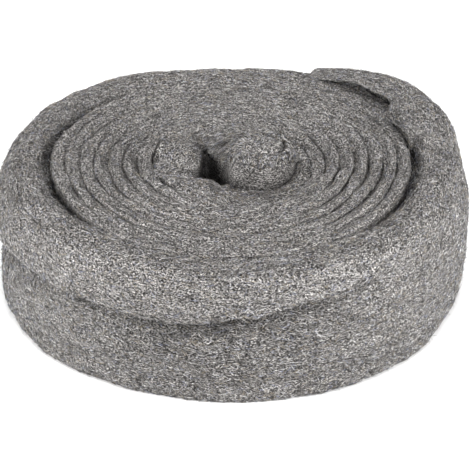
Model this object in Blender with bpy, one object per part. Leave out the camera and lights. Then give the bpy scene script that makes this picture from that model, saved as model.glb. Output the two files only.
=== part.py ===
"""A roll of steel wool ribbon, lying flat on its edge.

One ribbon of steel fibre is wound on itself. Its inner end is curled into a small bun.
The next length is bunched up round the bun and leaves a hole beside it. Eight close turns
follow. The last length is loose and swollen, with creases in its outer face, and its end
stands up and leans in over the turn below.

Units are metres and degrees. +Z is up, the roll stands on Z = 0, and the origin is under
the middle of its outline. Directions run anticlockwise from +X, seen from above.
"""

import math

import bmesh
import bpy
import numpy as np

# The ribbon
RIBBON_WIDTH = 0.098
RIBBON_THICKNESS = 0.0091
TURN_GAP = 0.0004
EDGE_RADIUS = 0.0042
FOOT_RADIUS = 0.0025

# The bun, where the inner end is curled up and squeezed
BUN_LAYER = 0.0082
BUN_EYE = 0.0006
BUN_TURNS = 1.72
BUN_DIRECTION = 18.0
BUN_EDGE_RADIUS = 0.0010
BUN_EDGE_UNTIL = (-200.0, -60.0)
BUN_SHOULDER = (0.0085, 0.0130)
BUN_SHOULDER_FROM = (-360.0, -300.0)

# The length that goes round the bun and the hole
CORE_RADIUS = 0.0465
LEAD_OUT_BEFORE = 40.0
LEAD_OUT_AFTER = 75.0
CORE_EDGE_RADIUS = 0.0080
CORE_EDGE_UNTIL = (250.0, 400.0)

# Degrees past the bun, and how near the bunched ribbon comes to the middle of the core
HOLE = (
    (60, 0.0100),
    (82, 0.0060),
    (92, 0.0090),
    (103, 0.0298),
    (113, 0.0262),
    (130, 0.0215),
    (150, 0.0205),
    (166, 0.0250),
    (179, 0.0272),
    (196, 0.0235),
    (225, 0.0195),
    (242, 0.0200),
    (262, 0.0140),
    (300, 0.0090),
)

# Degrees past the bun, and how far the top edge stands above that of the close turns
CORE_RISE = (
    (-620, 0.0075),
    (-400, 0.0070),
    (-150, 0.0040),
    (0, 0.0030),
    (75, 0.0020),
    (103, -0.0020),
    (126, 0.0020),
    (148, 0.0010),
    (170, -0.0060),
    (200, 0.0010),
    (250, -0.0010),
    (290, -0.0050),
    (335, -0.0050),
    (400, -0.0020),
    (620, 0.0),
)

# The close turns, and where the ribbon ends
CLOSE_TURNS = 8
END_DIRECTION = 64.0
END_ROUNDING = 3.2
END_ROUNDING_AT = (2.2, 0.8)
END_BLUNTNESS = 0.97

# The loose length, in degrees of winding, and its rounded edges, across and down
LOOSE_ANGLE = 405.0
LOOSE_SHOULDER = (0.027, 0.046)
LOOSE_SHOULDER_FROM = (40, 90)
LOOSE_INNER_EDGE = (0.011, 0.017)
LOOSE_INNER_EDGE_FROM = (60, 150)
LOOSE_INNER_EDGE_TO = (345, 365)
LOOSE_FOOT = (0.0075, 0.032)
LOOSE_FOOT_FROM = (45, 120)

# Degrees into the loose length, and how far its outer face stands beyond a close turn's
SWELLING = (
    (0, 0.0),
    (10, 0.0105),
    (23, 0.0140),
    (45, 0.0140),
    (68, 0.0190),
    (110, 0.0365),
    (131, 0.0325),
    (148, 0.0300),
    (165, 0.0315),
    (180, 0.0338),
    (203, 0.0340),
    (225, 0.0328),
    (248, 0.0337),
    (293, 0.0350),
    (320, 0.0325),
    (345, 0.0315),
    (368, 0.0330),
    (383, 0.0275),
    (394, 0.0195),
    (405, 0.0125),
)

# Degrees into the loose length, how far its top edge stands up, and how far it leans in
LIFT = (
    (335, 0.0, 0.0),
    (346, 0.0060, 0.0),
    (354, 0.0125, 0.0020),
    (368, 0.0130, 0.0050),
    (383, 0.0100, 0.0080),
    (394, 0.0080, 0.0090),
    (405, 0.0038, 0.0090),
)
LIFT_GAP = 0.0026

# The long crease: degrees into the loose length, share of the ribbon's width, and depth
LONG_CREASE = (
    (148, 0.34, 0.0),
    (159, 0.36, 0.0050),
    (188, 0.62, 0.0075),
    (216, 0.67, 0.0095),
    (236, 0.66, 0.0125),
    (253, 0.70, 0.0135),
    (268, 0.78, 0.0105),
    (285, 0.84, 0.0050),
    (300, 0.85, 0.0),
)
LONG_CREASE_SPREAD = (0.20, 0.008)

# The crease above the foot, in the same terms
FOOT_CREASE = (
    (168, 0.16, 0.0),
    (193, 0.16, 0.0022),
    (248, 0.18, 0.0032),
    (298, 0.16, 0.0022),
    (328, 0.16, 0.0),
)
FOOT_CREASE_SPREAD = (0.025, 0.06)

# The core lies nearer the front than the middle of the outline, and the front has sunk
CORE_OFFCENTRE = 0.023
FRONT_DROP = 0.014

# How far the top edges wander up and down, and how many waves of it there are in a turn
EDGE_WANDER = 0.0009
WANDER_WAVES = (0.83, 2.37)
WANDER_SHARES = (1.0, 0.7)

# The turns part at the left and the right. At the front and the back they are felted
# together, and less of their rounding is left. The loose length's inner edge is felted to
# the turn inside it at the front alone, where the sine of the direction is under these.
FELTED_SHARE = 0.16
PARTED_POWER = 1.5
FRONT_FELTED = 0.93
FRONT_FELTED_FROM = (0.35, 0.90)

# Soft lumps in the top edges and in the loose length's outer face
LUMP_SIZE = 0.034
LUMP_HEIGHT = 0.0011
LUMP_SEED = 1
LUMP_LATTICE = 24
LUMPY_FROM = (0.062, 0.090)
LUMPY_LOOSE_FROM = (40.0, 50.0)

# The most of the ribbon's thickness that each rounding takes
MOST_INNER_EDGE = 0.45
MOST_SHOULDER = 0.55
MOST_OUTER_FOOT = 0.35
MOST_INNER_FOOT = 0.30
MOST_LIFTED_EDGE = 0.70

# The side's points, as shares of the ribbon's width from the creases and the top
SHOULDER_REACH = 0.10
NEAR_CREASE = 0.012
ABOVE_CREASE = 0.05
BELOW_CREASE = 0.10

# Facets
STATIONS_PER_TURN = 30
FINE_STATIONS_PER_TURN = 60
EDGE_POINTS = 4
ROUNDING_STEPS = (0.0, 0.08, 0.3)
MERGE_DISTANCE = 0.00001
BUN_REACH_ROUNDS = 4

STEEL_GREY = (0.33, 0.325, 0.315, 1.0)

PITCH = RIBBON_THICKNESS + TURN_GAP
BUN_PITCH = BUN_LAYER + TURN_GAP
BUN_RADIUS = BUN_EYE + BUN_TURNS * BUN_PITCH + BUN_LAYER
BUN_OFFSET = CORE_RADIUS - BUN_RADIUS

# Angles along the ribbon count on through each turn. The ribbon leaves the bun at 0.
START = -360.0 * BUN_TURNS
END = 360.0 * (CLOSE_TURNS + 1) + END_DIRECTION - BUN_DIRECTION
LOOSE_START = END - LOOSE_ANGLE


def smoothstep(x, low, high):
    """0 below low, 1 above high, and an even S between them."""
    share = np.clip((x - low) / (high - low), 0.0, 1.0)
    return share * share * (3.0 - 2.0 * share)


def through(points, x, column=1):
    """A smooth curve through a short list of points, level beyond its ends."""
    table = np.array(points)
    xs, ys = table[:, 0], table[:, column]
    slopes = np.gradient(ys, xs)
    slopes[0] = slopes[-1] = 0.0
    x = np.clip(x, xs[0], xs[-1])
    left = np.clip(np.searchsorted(xs, x, side="right") - 1, 0, len(xs) - 2)
    step = xs[left + 1] - xs[left]
    s = (x - xs[left]) / step
    return (
        ys[left] * (1 + 2 * s) * (1 - s) ** 2
        + slopes[left] * step * s * (1 - s) ** 2
        + ys[left + 1] * s * s * (3 - 2 * s)
        - slopes[left + 1] * step * s * s * (1 - s)
    )


def between(close, loose, share):
    """From the close turns' value to the loose length's."""
    return close + (loose - close) * share


def bun_share(angle):
    """1 where the ribbon turns about the bun, 0 where it turns about the roll."""
    return 1.0 - smoothstep(angle, -LEAD_OUT_BEFORE, LEAD_OUT_AFTER)


def outer_radius(angle):
    """The ribbon's outer face, from the point that it turns about."""
    pitch = np.where(angle < 0.0, BUN_PITCH, PITCH)
    swollen = through(SWELLING, angle - LOOSE_START)
    return CORE_RADIUS + pitch * angle / 360.0 + swollen - BUN_OFFSET * bun_share(angle)


def bun_reach(angle):
    """The bun's surface, from the point that the ribbon turns about, looking towards the ribbon.

    The bun is a spiral, so its radius depends on the angle about the bun, which is found in
    a few rounds.
    """
    turned = np.radians(angle)
    away = BUN_OFFSET * (1.0 - bun_share(angle))
    radius = BUN_RADIUS
    for _ in range(BUN_REACH_ROUNDS):
        beyond = np.arcsin(np.clip(away * np.sin(turned) / radius, -1.0, 1.0))
        radius = BUN_RADIUS - BUN_PITCH * (1.0 - (angle + np.degrees(beyond)) / 360.0)
    return np.clip(away * np.cos(turned) + radius * np.cos(beyond), 0.0, None)


def inner_radius(angle):
    """The ribbon's inner face: in the bun, then free round the bun and the hole, then on the turn inside."""
    outer = outer_radius(angle)
    bunched = np.maximum(through(HOLE, angle), bun_reach(angle) + TURN_GAP)
    in_core = np.where(angle < 0.0, outer - BUN_LAYER, np.minimum(bunched, outer - BUN_LAYER))
    on_turn = outer_radius(angle - 360.0) + TURN_GAP
    return np.where(angle < 360.0, in_core, on_turn)


def close_top(angle):
    """The height of the ribbon's top edge, before the end's lift."""
    turned = np.radians(angle)
    wander = sum(share * np.sin(waves * turned + share) for share, waves in zip(WANDER_SHARES, WANDER_WAVES))
    return RIBBON_WIDTH + EDGE_WANDER * wander + through(CORE_RISE, angle)


def edge_rounding(angle):
    """The rounding of a top edge: by direction on the close turns, and larger in the core."""
    direction = np.radians(angle + BUN_DIRECTION)
    parted = between(FELTED_SHARE, 1.0, np.abs(np.cos(direction)) ** PARTED_POWER)
    in_core = 1.0 - smoothstep(angle, *CORE_EDGE_UNTIL)
    in_bun = 1.0 - smoothstep(angle, *BUN_EDGE_UNTIL)
    return between(between(EDGE_RADIUS * parted, CORE_EDGE_RADIUS, in_core), BUN_EDGE_RADIUS, in_bun)


def end_inset(angle, thickness):
    """How far the faces draw in towards the ribbon's rounded end."""
    ended = np.clip((angle - END + END_ROUNDING) / END_ROUNDING, 0.0, END_BLUNTNESS)
    return (1.0 - np.sqrt(1.0 - ended**2)) * thickness / 2.0


def inner_profile(angle, inner, thickness, top):
    """Up the inner face and round its top edge. Where the end leans in, it goes over the turn below."""
    loose = angle - LOOSE_START
    lift = through(LIFT, loose, 1)
    lean = through(LIFT, loose, 2)
    frontness = -np.sin(np.radians(angle + BUN_DIRECTION))
    felted = 1.0 - FRONT_FELTED * smoothstep(frontness, *FRONT_FELTED_FROM)
    swollen = smoothstep(loose, *LOOSE_INNER_EDGE_FROM) * (1.0 - smoothstep(loose, *LOOSE_INNER_EDGE_TO))
    edge = edge_rounding(angle)
    across = between(edge, LOOSE_INNER_EDGE[0] * felted, swollen)
    across = np.minimum(across, MOST_INNER_EDGE * (thickness + lean))
    down = between(edge, LOOSE_INNER_EDGE[1] * felted, swollen)
    down = np.where(lean > 0.0, np.minimum(down, MOST_LIFTED_EDGE * (lift - LIFT_GAP)), down)
    bend = np.where(lean > 0.0, top - lift + LIFT_GAP, top / 2.0)
    foot = np.minimum(FOOT_RADIUS, MOST_INNER_FOOT * thickness)

    turned = np.radians(np.linspace(180.0, 90.0, EDGE_POINTS))
    edge_radius = (inner - lean + across)[:, None] + across[:, None] * np.cos(turned)
    edge_height = (top - down)[:, None] + down[:, None] * np.sin(turned)
    radius = np.column_stack([inner + foot, inner, inner, edge_radius])
    height = np.column_stack([0.0 * foot, foot, bend, edge_height])
    return radius, height


def rounded_inset(height, across, up):
    """How far a face with an elliptical foot is drawn in at a height above that foot."""
    level = 1.0 - np.clip(height / up, 0.0, 1.0)
    return across * (1.0 - np.sqrt(1.0 - level**2))


def crease_inset(crease, spread, loose, share_of_width):
    """How far the outer face is drawn in by a crease, which fades below and above it."""
    away = share_of_width - through(crease, loose, 1)
    width = np.where(away < 0.0, spread[0], spread[1])
    return through(crease, loose, 2) * np.exp(-np.abs(away) / width)


def outer_heights(loose, top, shoulder_down, foot_up):
    """The heights of the outer face's points, from the shoulder down to the foot."""
    crease = through(LONG_CREASE, loose, 1) * RIBBON_WIDTH
    near = NEAR_CREASE * RIBBON_WIDTH
    above = ABOVE_CREASE * RIBBON_WIDTH
    below = BELOW_CREASE * RIBBON_WIDTH
    foot_crease = through(FOOT_CREASE, loose, 1) * RIBBON_WIDTH
    shoulder = np.minimum(shoulder_down, SHOULDER_REACH * RIBBON_WIDTH)
    side = [
        (crease + above + top - shoulder) / 2.0,
        crease + above,
        crease + near,
        crease - near,
        crease - below,
        (crease - below + foot_crease + above) / 2.0,
        foot_crease + above / 2.0,
        foot_crease,
    ]
    # The close turns are straight between their edges, and their side points fall together.
    is_loose = loose > 0.0
    side = [np.where(is_loose, height, RIBBON_WIDTH / 2.0) for height in side]
    shoulder_points = [top - shoulder * step for step in ROUNDING_STEPS + (1.0,)]
    foot_points = [foot_up * step for step in ROUNDING_STEPS[::-1]]
    return np.column_stack(shoulder_points + side + foot_points)


def outer_profile(angle, outer, thickness, top):
    """Over the shoulder, down the outer face and round its foot."""
    loose = angle - LOOSE_START
    shoulder = smoothstep(loose, *LOOSE_SHOULDER_FROM)
    foot = smoothstep(loose, *LOOSE_FOOT_FROM)
    bun = smoothstep(angle, *BUN_SHOULDER_FROM)
    after_bun = smoothstep(angle, 0.0, LEAD_OUT_AFTER)
    edge = edge_rounding(angle)
    shoulder_across = between(edge, LOOSE_SHOULDER[0], shoulder)
    shoulder_across = between(between(BUN_EDGE_RADIUS, BUN_SHOULDER[0], bun), shoulder_across, after_bun)
    shoulder_across = np.minimum(shoulder_across, MOST_SHOULDER * thickness)
    shoulder_down = between(edge, LOOSE_SHOULDER[1], shoulder)
    shoulder_down = between(between(BUN_EDGE_RADIUS, BUN_SHOULDER[1], bun), shoulder_down, after_bun)
    foot_across = np.minimum(between(FOOT_RADIUS, LOOSE_FOOT[0], foot), MOST_OUTER_FOOT * thickness)
    foot_up = between(FOOT_RADIUS, LOOSE_FOOT[1], foot)
    height = outer_heights(loose, top, shoulder_down, foot_up)
    column = (slice(None), None)
    inset = (
        rounded_inset(top[column] - height, shoulder_across[column], shoulder_down[column])
        + rounded_inset(height, foot_across[column], foot_up[column])
        + crease_inset(LONG_CREASE, LONG_CREASE_SPREAD, loose[column], height / RIBBON_WIDTH)
        + crease_inset(FOOT_CREASE, FOOT_CREASE_SPREAD, loose[column], height / RIBBON_WIDTH)
    )
    return outer[column] - inset, height


def ribbon_angles():
    """The stations along the ribbon, closer together round the hole and on the loose length."""
    coarse = 360.0 / STATIONS_PER_TURN
    fine = 360.0 / FINE_STATIONS_PER_TURN
    angles = LOOSE_START - coarse * np.arange(1, math.ceil((LOOSE_START - START) / coarse))
    round_hole = angles[(angles > 0.0) & (angles < 360.0)] - fine
    loose = np.linspace(LOOSE_START, END, round(LOOSE_ANGLE / fine) + 1)
    rounding = END - np.array(END_ROUNDING_AT)
    return np.sort(np.concatenate([[START], angles, round_hole, loose, rounding]))


def centred(values):
    return values - (values.max() + values.min()) / 2.0


def settled(x, y, z):
    """The wound shape moved to where it has settled: the core off centre, and the front sunk."""
    outline = outer_radius(np.array(END - 90.0))
    x, y = centred(x), centred(y)
    share = np.clip(np.hypot(x, y) / outline, 0.0, 1.0)
    sunk = FRONT_DROP / RIBBON_WIDTH * smoothstep(-y, 0.0, outline)
    return x, centred(y - CORE_OFFCENTRE * (1.0 - share**2)), z * (1.0 - sunk)


def lumps(points, size, seed):
    """Random numbers from -1 to 1 on a lattice of this size, blended between its points."""
    numbers = np.random.default_rng(seed).uniform(-1.0, 1.0, (LUMP_LATTICE,) * 3)
    scaled = points / size
    cell = np.floor(scaled).astype(int)
    share = smoothstep(scaled - cell, 0.0, 1.0)
    total = np.zeros(points.shape[:-1])
    for corner in np.ndindex(2, 2, 2):
        weight = np.prod(np.where(np.array(corner) == 1, share, 1.0 - share), axis=-1)
        index = (cell + corner) % LUMP_LATTICE
        total += weight * numbers[index[..., 0], index[..., 1], index[..., 2]]
    return total


def lumpy(points, angle, is_outer):
    """The top edges raised and lowered, and the loose length's outer face moved in and out."""
    relief = LUMP_HEIGHT * lumps(points, LUMP_SIZE, LUMP_SEED)
    on_loose = smoothstep(angle - LOOSE_START, *LUMPY_LOOSE_FROM)[:, None] * is_outer
    upper = smoothstep(points[..., 2], *LUMPY_FROM)
    outward = points[..., :2] / np.maximum(np.linalg.norm(points[..., :2], axis=-1), PITCH)[..., None]
    sideways = (relief * on_loose * (1.0 - upper))[..., None] * outward
    return points + np.concatenate([sideways, (relief * upper)[..., None]], axis=-1)


def ribbon_points():
    """The ribbon's cross-section at every station, as rings of points."""
    angle = ribbon_angles()
    inner = inner_radius(angle)
    outer = outer_radius(angle)
    inset = end_inset(angle, outer - inner)
    inner, outer = inner + inset, outer - inset
    thickness = outer - inner
    lifted = close_top(angle) + through(LIFT, angle - LOOSE_START, 1) - inset
    inner_face = inner_profile(angle, inner, thickness, lifted)
    outer_face = outer_profile(angle, outer, thickness, lifted)
    radius = np.concatenate([inner_face[0], outer_face[0]], axis=1)
    height = np.concatenate([inner_face[1], outer_face[1]], axis=1)
    turned = np.radians(angle + BUN_DIRECTION)[:, None]
    bun = BUN_OFFSET * bun_share(angle)[:, None]
    x = bun * math.cos(math.radians(BUN_DIRECTION)) + radius * np.cos(turned)
    y = bun * math.sin(math.radians(BUN_DIRECTION)) + radius * np.sin(turned)
    is_outer = np.arange(radius.shape[1]) >= inner_face[0].shape[1]
    return lumpy(np.stack(settled(x, y, height), axis=-1), angle, is_outer)


def loft(name, sections):
    """A closed solid from rings of points, each joined to the next, with both ends filled."""
    mesh = bpy.data.meshes.new(name)
    shape = bmesh.new()
    rings = [[shape.verts.new(point) for point in ring] for ring in sections]
    count = len(rings[0])
    for ring, following in zip(rings, rings[1:]):
        for i in range(count):
            j = (i + 1) % count
            shape.faces.new((ring[i], ring[j], following[j], following[i]))
    shape.faces.new(rings[0][::-1])
    shape.faces.new(rings[-1])
    bmesh.ops.remove_doubles(shape, verts=shape.verts, dist=MERGE_DISTANCE)
    bmesh.ops.recalc_face_normals(shape, faces=shape.faces)
    shape.to_mesh(mesh)
    shape.free()
    return mesh


def steel_wool():
    """Fine carbon steel shavings: mid grey, metallic, and matt as a mass."""
    material = bpy.data.materials.new("steel_wool")
    material.use_nodes = True
    shader = material.node_tree.nodes["Principled BSDF"]
    shader.inputs["Base Color"].default_value = STEEL_GREY
    shader.inputs["Metallic"].default_value = 1.0
    shader.inputs["Roughness"].default_value = 0.55
    return material


def clear_scene():
    for old in list(bpy.data.objects):
        bpy.data.objects.remove(old)


def main():
    clear_scene()
    collection = bpy.data.collections.new("steel_wool_roll")
    bpy.context.scene.collection.children.link(collection)
    mesh = loft("wound_ribbon", ribbon_points().tolist())
    mesh.materials.append(steel_wool())
    mesh.shade_smooth()
    mesh.set_sharp_from_angle(angle=math.radians(50.0))
    collection.objects.link(bpy.data.objects.new("wound_ribbon", mesh))


main()
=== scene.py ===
# %% [markdown]
# # A roll of steel wool ribbon
# The object is one long ribbon of steel wool, about 98 mm wide and 9 mm thick, wound into a
# roll that lies flat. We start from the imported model, which fixes the size and the place, and
# dress it with a finer ribbon and with strands that are real geometry.

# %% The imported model
import math

import bpy
import numpy as np
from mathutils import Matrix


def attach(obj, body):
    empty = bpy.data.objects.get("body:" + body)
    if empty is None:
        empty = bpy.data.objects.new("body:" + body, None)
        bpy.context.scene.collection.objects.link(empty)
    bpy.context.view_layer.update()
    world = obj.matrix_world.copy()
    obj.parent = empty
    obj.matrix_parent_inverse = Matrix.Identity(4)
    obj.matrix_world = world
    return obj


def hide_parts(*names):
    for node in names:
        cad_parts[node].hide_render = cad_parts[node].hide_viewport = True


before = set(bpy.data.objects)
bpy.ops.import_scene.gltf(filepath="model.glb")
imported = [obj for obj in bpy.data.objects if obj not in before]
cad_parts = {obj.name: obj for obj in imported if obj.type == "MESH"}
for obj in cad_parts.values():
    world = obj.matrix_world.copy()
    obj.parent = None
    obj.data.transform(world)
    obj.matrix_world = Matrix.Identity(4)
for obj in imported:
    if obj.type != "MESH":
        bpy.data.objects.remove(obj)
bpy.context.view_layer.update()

# %% [markdown]
# ## Small helpers
# Three things are needed all through: an even S curve between two values, a smooth curve
# through a short list of points, and soft random lumps. They are plain numpy, so each of them
# takes a whole array of places at once.

# %% An even S
def smoothstep(x, low, high):
    """0 below low, 1 above high, and an even S between them: 3s^2 - 2s^3."""
    share = np.clip((x - low) / (high - low), 0.0, 1.0)
    return share * share * (3.0 - 2.0 * share)


def between(start, end, share):
    """The first value at share 0, the second at share 1."""
    return start + (end - start) * share


print("an even S, a quarter of the way along:", smoothstep(0.25, 0.0, 1.0))


# %% A curve through a short list
def through(points, x, column=1):
    """A cubic through a short list of points, whose slope at each is that of its neighbours,
    level beyond the ends."""
    table = np.array(points)
    xs, ys = table[:, 0], table[:, column]
    slopes = np.gradient(ys, xs)
    slopes[0] = slopes[-1] = 0.0
    x = np.clip(x, xs[0], xs[-1])
    left = np.clip(np.searchsorted(xs, x, side="right") - 1, 0, len(xs) - 2)
    step = xs[left + 1] - xs[left]
    s = (x - xs[left]) / step
    return (
        ys[left] * (1 + 2 * s) * (1 - s) ** 2
        + slopes[left] * step * s * (1 - s) ** 2
        + ys[left + 1] * s * s * (3 - 2 * s)
        - slopes[left + 1] * step * s * s * (1 - s)
    )


print("halfway from 0 to 1:", through(((0.0, 0.0), (1.0, 1.0)), 0.5))

# %% Soft random lumps
LATTICE = 24


def lumps(points, size, seed):
    """Random numbers from -1 to 1 on a lattice with cells of this size, blended between the
    eight corners of each cell with an even S along each axis."""
    numbers = np.random.default_rng(seed).uniform(-1.0, 1.0, (LATTICE,) * 3)
    scaled = points / size
    cell = np.floor(scaled).astype(int)
    share = scaled - cell
    share = share * share * (3.0 - 2.0 * share)
    total = np.zeros(points.shape[:-1])
    for corner in np.ndindex(2, 2, 2):
        weight = np.prod(np.where(np.array(corner) == 1, share, 1.0 - share), axis=-1)
        index = (cell + corner) % LATTICE
        total += weight * numbers[index[..., 0], index[..., 1], index[..., 2]]
    return total


along_x = np.linspace([0.0, 0.0, 0.0], [1.0, 0.0, 0.0], 5)
print("lumps a quarter of a cell apart:", lumps(along_x, 1.0, 1).round(2))

# %% [markdown]
# ## From arrays to meshes
# A mesh can be built point by point, but whole arrays handed over with foreach_set are
# hundreds of times faster. Every piece here is closed, so its signed volume tells whether its
# faces point outwards, and a piece that comes out inside out is turned round at once.

# %% A mesh from whole arrays
def signed_volume(points, face_sets):
    """The sum of a . (b x c) / 6 over the triangles, below 0 where the faces point inwards."""
    volume = 0.0
    for faces in face_sets:
        for k in range(1, faces.shape[1] - 1):
            a, b, c = points[faces[:, 0]], points[faces[:, k]], points[faces[:, k + 1]]
            volume += np.einsum("ij,ij->", a, np.cross(b, c)) / 6.0
    return volume


def mesh_from(name, points, *face_sets):
    """Points and arrays of faces, each array with its own number of corners, as a closed mesh
    that faces outwards, and whether its faces had to be turned round for that."""
    volume = signed_volume(points, face_sets)
    if volume < 0.0:
        face_sets = [faces[:, ::-1] for faces in face_sets]
    corners = np.concatenate([faces.ravel() for faces in face_sets])
    counts = np.concatenate([np.full(len(faces), faces.shape[1]) for faces in face_sets])
    starts = np.concatenate([[0], np.cumsum(counts)[:-1]])
    mesh = bpy.data.meshes.new(name)
    mesh.vertices.add(len(points))
    mesh.vertices.foreach_set("co", points.astype(np.float32).ravel())
    mesh.loops.add(len(corners))
    mesh.loops.foreach_set("vertex_index", corners.astype(np.int32))
    mesh.polygons.add(len(counts))
    mesh.polygons.foreach_set("loop_start", starts.astype(np.int32))
    mesh.update(calc_edges=True)
    mesh.shade_smooth()
    print(f"{name}: {(counts - 2).sum()} triangles, {1e6 * abs(volume):.0f} cm3")
    return mesh, volume < 0.0


# %% Its map, and its place in the scene
def corner_map(mesh, name, face_sets, flipped):
    """A UV map from one array of corner places for each array of faces."""
    layer = mesh.uv_layers.new(name=name)
    ordered = [uv[:, ::-1] if flipped else uv for uv in face_sets]
    places = np.concatenate([uv.reshape(-1, 2) for uv in ordered])
    layer.uv.foreach_set("vector", places.astype(np.float32).ravel())


def placed(mesh, material):
    """The mesh as an object at the origin, riding on the roll's one body."""
    obj = bpy.data.objects.new(mesh.name, mesh)
    bpy.context.scene.collection.objects.link(obj)
    mesh.materials.append(material)
    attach(obj, "root")
    return obj


# %% [markdown]
# ## How the ribbon is wound
# On the real roll the ribbon's inner end is curled into a small bun, the next turn is bunched
# up round it and leaves a hole beside it, close turns follow, and the last length is loose and
# swollen. It could be sculpted by hand, but a winding is a function of one angle: how far out
# the ribbon lies, how thick it is and how high its top edge stands. These are the values of
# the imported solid, apart from the core, where the bun stands a little higher and what lies in
# front of it a little lower. The angle is 0 where the ribbon leaves the bun and counts on
# through each turn. Directions run anticlockwise from +X.

# %% The ribbon and its turns, in metres and degrees
RIBBON_WIDTH = 0.098
RIBBON_THICKNESS = 0.0091
TURN_GAP = 0.0004
CLOSE_TURNS = 8
END_DIRECTION = 64.0
LOOSE_ANGLE = 405.0
PITCH = RIBBON_THICKNESS + TURN_GAP

# %% The bun, curled up and squeezed, and the core round it
BUN_LAYER = 0.0082
BUN_EYE = 0.0006
BUN_TURNS = 1.72
BUN_DIRECTION = 18.0
BUN_REACH_ROUNDS = 4
BUN_BULGE = 0.0038
BUN_BULGE_AT = (-180.0, 55.0)
CORE_RADIUS = 0.0465
LEAD_OUT = (-40.0, 75.0)
BUN_PITCH = BUN_LAYER + TURN_GAP
BUN_RADIUS = BUN_EYE + BUN_TURNS * BUN_PITCH + BUN_LAYER
BUN_OFFSET = CORE_RADIUS - BUN_RADIUS

START = -360.0 * BUN_TURNS
END = 360.0 * (CLOSE_TURNS + 1) + END_DIRECTION - BUN_DIRECTION
LOOSE_START = END - LOOSE_ANGLE
print(f"{(END - START) / 360:.1f} turns, a turn every {1000 * PITCH:.1f} mm")

# %% The hole's wall and the core's rise: degrees past the bun, then metres
HOLE = (
    (60, 0.0100), (82, 0.0045), (92, 0.0080), (103, 0.0298), (113, 0.0262), (130, 0.0215),
    (150, 0.0205), (166, 0.0250), (179, 0.0272), (196, 0.0235), (225, 0.0195), (240, 0.0190),
    (252, 0.0110), (264, 0.0050), (300, 0.0050),
)
CORE_RISE = (
    (-620, 0.0078), (-400, 0.0080), (-250, 0.0080), (-90, 0.0068), (0, 0.0048), (75, 0.002),
    (103, -0.002), (126, 0.002), (148, 0.000), (170, -0.006), (200, 0.001), (240, -0.002),
    (265, -0.009), (290, -0.012), (330, -0.011), (360, -0.007), (420, -0.001), (590, 0.0),
    (640, -0.005), (700, -0.004), (760, 0.0),
)
print("the bun rises, mm:", 1000 * max(rise for _, rise in CORE_RISE))

# %% The loose length's swelling and its lifted end: degrees into it, then metres
SWELLING = (
    (0, 0.0), (10, 0.0105), (23, 0.0140), (45, 0.0140), (68, 0.0190), (110, 0.0365),
    (131, 0.0325), (148, 0.0300), (165, 0.0315), (180, 0.0338), (203, 0.0340),
    (225, 0.0328), (248, 0.0337), (293, 0.0350), (320, 0.0325), (345, 0.0315),
    (368, 0.0330), (383, 0.0275), (394, 0.0195), (405, 0.0125),
)
LIFT = (
    (335, 0.0, 0.0), (346, 0.0060, 0.0), (354, 0.0125, 0.0020), (368, 0.0130, 0.0050),
    (383, 0.0100, 0.0080), (394, 0.0080, 0.0090), (405, 0.0038, 0.0090),
)
print("most swollen, mm:", 1000 * max(out for _, out in SWELLING))

# %% Where the turns are felted together: shares of the way to the very front or back
FELTED_FROM = (0.5, 0.85)
LOOSE_FELTED_FROM = (0.88, 0.97)
LOOSE_SHOULDER_FROM = (40, 90)
FELT_OVERLAP = 0.0004


def felted(angle):
    """1 at the front and the back of the roll, where the turns are felted together, 0 at its
    left and right. The loose length parts over more of the way."""
    frontness = np.abs(np.sin(np.radians(angle + BUN_DIRECTION)))
    on_close = smoothstep(frontness, *FELTED_FROM)
    on_loose = smoothstep(frontness, *LOOSE_FELTED_FROM)
    return between(on_close, on_loose, smoothstep(angle - LOOSE_START, *LOOSE_SHOULDER_FROM))


print("felted at the left and at the back:", felted(162.0).round(2), felted(72.0).round(2))


# %% The outer face
def bun_share(angle):
    """1 where the ribbon turns about the bun, 0 where it turns about the roll."""
    return 1.0 - smoothstep(angle, *LEAD_OUT)


def bun_bulge(angle):
    """How far the bun leans into the hole: e^(-x^2), x being how far round from its middle."""
    middle_angle, spread = BUN_BULGE_AT
    return BUN_BULGE * np.exp(-(((angle - middle_angle) / spread) ** 2))


def outer_radius(angle):
    """The outer face: the core's radius, a pitch more for each turn, plus the swelling."""
    pitch = np.where(angle < 0.0, BUN_PITCH, PITCH)
    swollen = through(SWELLING, angle - LOOSE_START) + bun_bulge(angle)
    return CORE_RADIUS + pitch * angle / 360.0 + swollen - BUN_OFFSET * bun_share(angle)


print(f"the bun is {2000 * outer_radius(np.array(-90.0)):.0f} mm across")


# %% The inner face
def bun_reach(angle):
    """The far side of the bun from a point a beside it: a cos t + r cos b, where
    sin b = a sin t / r. The bun is a spiral, so r depends on t + b, and is found in rounds."""
    turned = np.radians(angle)
    away = BUN_OFFSET * (1.0 - bun_share(angle))
    radius = BUN_RADIUS
    for _ in range(BUN_REACH_ROUNDS):
        beyond = np.arcsin(np.clip(away * np.sin(turned) / radius, -1.0, 1.0))
        radius = BUN_RADIUS - BUN_PITCH * (1.0 - (angle + np.degrees(beyond)) / 360.0)
    return np.clip(away * np.cos(turned) + radius * np.cos(beyond), 0.0, None)


def inner_radius(angle):
    """The inner face: a layer inside the outer face in the bun, then clear of the bun and the
    hole, then on the turn before it, with a small gap where the turns part."""
    outer = outer_radius(angle)
    on_bun = outer - bun_bulge(angle) - BUN_PITCH - FELT_OVERLAP
    in_bun = np.where(angle < START + 360.0, BUN_EYE, on_bun)
    bunched = np.maximum(through(HOLE, angle), bun_reach(angle) + TURN_GAP)
    in_core = np.where(angle < 0.0, in_bun, np.minimum(bunched, outer - BUN_LAYER))
    gap = between(TURN_GAP, -FELT_OVERLAP, felted(angle))
    return np.where(angle < 360.0, in_core, outer_radius(angle - 360.0) + gap)


print("the hole's wall at its middle, mm out:", (1000 * inner_radius(np.array(180.0))).round(1))


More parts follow.
